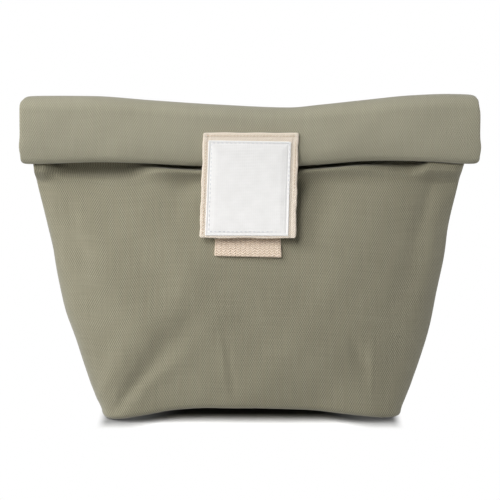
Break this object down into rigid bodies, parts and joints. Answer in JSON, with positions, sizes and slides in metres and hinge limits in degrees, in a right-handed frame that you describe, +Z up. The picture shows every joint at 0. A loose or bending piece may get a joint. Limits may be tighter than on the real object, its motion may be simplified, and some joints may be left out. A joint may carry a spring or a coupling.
{
  "type": "roll-up lunch bag",
  "caption": "Soft canvas bag with a boxed base and an insulated lining, whose flat mouth rolls down over itself and is held shut by a hook-and-loop tab.",
  "frame": {"origin": "middle of the base, on the surface that the bag stands on", "axes": "+Z up, +X along the roll to the right of someone facing the tab, -Y towards the side with the tab"},
  "size_m": [0.28, 0.104, 0.1912],
  "materials": {
    "canvas": "heavy cotton canvas, matt",
    "foil_lining": "foil-faced foam laminate, dull sheen",
    "twill": "folded cotton twill, matt",
    "woven_label": "close woven label cloth, plain",
    "cotton_webbing": "herringbone cotton webbing, matt",
    "hook_and_loop": "hook-and-loop tape"
  },
  "bodies": {
    "bag_body": {"outer_front_panel": "canvas", "outer_back_panel": "canvas", "outer_base_panel": "canvas", "lining_front": "foil_lining", "lining_back": "foil_lining", "lining_base": "foil_lining", "neck_front_canvas": "canvas", "neck_back_canvas": "canvas", "neck_front_lining": "foil_lining", "neck_back_lining": "foil_lining", "top_fold_back_canvas": "canvas", "top_fold_back_lining": "foil_lining", "top_fold_front_lining": "foil_lining", "top_fold_front_canvas": "canvas", "front_webbing": "cotton_webbing", "loop_tape": "hook_and_loop"},
    "roll_outer_turn": {"outer_turn_back_canvas": "canvas", "outer_turn_back_lining": "foil_lining", "outer_turn_front_lining": "foil_lining", "outer_turn_front_canvas": "canvas", "bottom_fold_back_canvas": "canvas", "bottom_fold_back_lining": "foil_lining", "bottom_fold_front_lining": "foil_lining", "bottom_fold_front_canvas": "canvas", "tab_sewn_edge": "twill"},
    "roll_inner_lip": {"inner_lip_back_canvas": "canvas", "inner_lip_back_lining": "foil_lining", "inner_lip_front_lining": "foil_lining", "inner_lip_front_canvas": "canvas", "mouth_hem_back": "canvas", "mouth_hem_front": "canvas"},
    "closure_tab": {"tab_flap": "twill", "tab_label": "woven_label", "hook_tape": "hook_and_loop"}
  },
  "joints": [
    {"name": "roll_unroll", "type": "hinge", "parent": "bag_body", "child": "roll_outer_turn", "pos_m": [0, 0, 0.19264], "axis": [-1, 0, 0], "range_deg": [0, 180], "deforming": ["top_fold_back_canvas", "top_fold_back_lining", "top_fold_front_lining", "top_fold_front_canvas"]},
    {"name": "lip_unroll", "type": "hinge", "parent": "roll_outer_turn", "child": "roll_inner_lip", "pos_m": [0, -0.00275, 0.15293], "axis": [-1, 0, 0], "range_deg": [0, 180], "deforming": ["bottom_fold_back_canvas", "bottom_fold_back_lining", "bottom_fold_front_lining", "bottom_fold_front_canvas"]},
    {"name": "tab_lift", "type": "hinge", "parent": "roll_outer_turn", "child": "closure_tab", "pos_m": [0, -0.0107, 0.16625], "axis": [-1, 0, 0], "range_deg": [0, 150]}
  ],
  "couplings": [
    {"joint": "lip_unroll", "follows": "roll_unroll", "ratio": 1}
  ]
}
